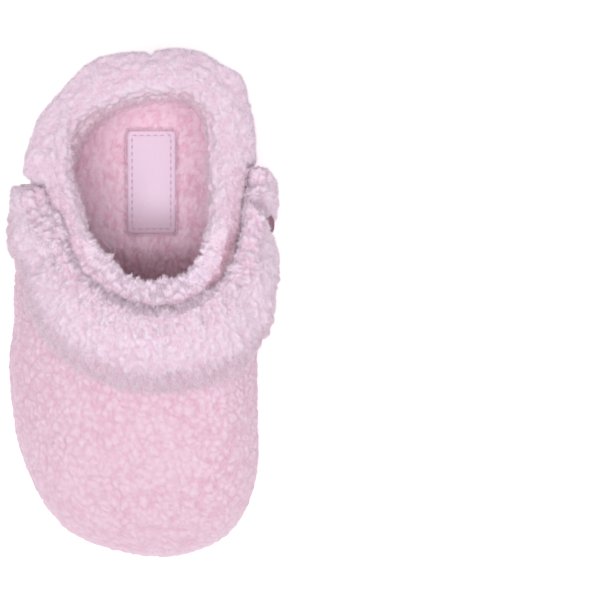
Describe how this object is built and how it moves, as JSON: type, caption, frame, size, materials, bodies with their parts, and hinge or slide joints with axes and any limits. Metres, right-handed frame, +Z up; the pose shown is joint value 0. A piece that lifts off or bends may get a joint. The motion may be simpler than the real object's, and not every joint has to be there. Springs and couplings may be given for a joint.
{
  "type": "baby bootie",
  "caption": "Soft baby bootie in curly fleece, right foot, with a turned-down cuff whose two side wings peel open on hook and loop.",
  "frame": {"origin": "middle of the box round the bootie, at the base, where the grip dots meet the floor", "axes": "+Z up, +Y towards the heel and -Y towards the toe, +X towards the inner (medial) side of the foot"},
  "size_m": [0.0666, 0.1226, 0.0572],
  "materials": {
    "curly_fleece": "short, tightly curled pile",
    "lining_fleece": "short brushed pile",
    "cuff_fleece": "longer pile in soft locks",
    "backing_knit": "matt knit",
    "stiffening_felt": "matt felt",
    "cushion_foam": "matt foam",
    "sole_suede": "matt, fine nap",
    "grip_silicone": "satin",
    "label_satin": "satin weave",
    "tape_twill": "matt twill",
    "sewing_thread": "soft sheen",
    "hook_tape": "fine hooks",
    "loop_tape": "brushed loops"
  },
  "bodies": {
    "shoe": {"outsole": "sole_suede", "grip_pad_forefoot": "grip_silicone", "grip_pad_heel": "grip_silicone", "midsole_foam": "cushion_foam", "footbed": "lining_fleece", "footbed_label": "label_satin", "label_thread": "sewing_thread", "sole_seam_thread": "sewing_thread", "vamp_shell": "curly_fleece", "vamp_lining": "lining_fleece", "inner_collar": "lining_fleece", "front_cuff": "cuff_fleece", "front_cuff_facing": "backing_knit", "quarter_lateral": "curly_fleece", "quarter_medial": "curly_fleece", "back_seam_tape": "tape_twill", "heel_counter": "stiffening_felt", "heel_lining": "lining_fleece", "heel_collar": "cuff_fleece", "hook_pad_lateral": "hook_tape", "hook_pad_medial": "hook_tape"},
    "lateral_wing": {"wing_lateral": "cuff_fleece", "wing_facing_lateral": "backing_knit", "loop_pad_lateral": "loop_tape"},
    "medial_wing": {"wing_medial": "cuff_fleece", "wing_facing_medial": "backing_knit", "loop_pad_medial": "loop_tape", "side_tab": "tape_twill"}
  },
  "joints": [
    {"name": "lateral_wing_peel", "type": "hinge", "parent": "shoe", "child": "lateral_wing", "pos_m": [-0.02475, 0.00738, 0.04645], "axis": [0.5158, 0.3514, 0.7813], "range_deg": [0, 100]},
    {"name": "medial_wing_peel", "type": "hinge", "parent": "shoe", "child": "medial_wing", "pos_m": [0.02904, 0.00771, 0.04386], "axis": [0.1783, -0.5283, -0.8301], "range_deg": [0, 100]}
  ]
}
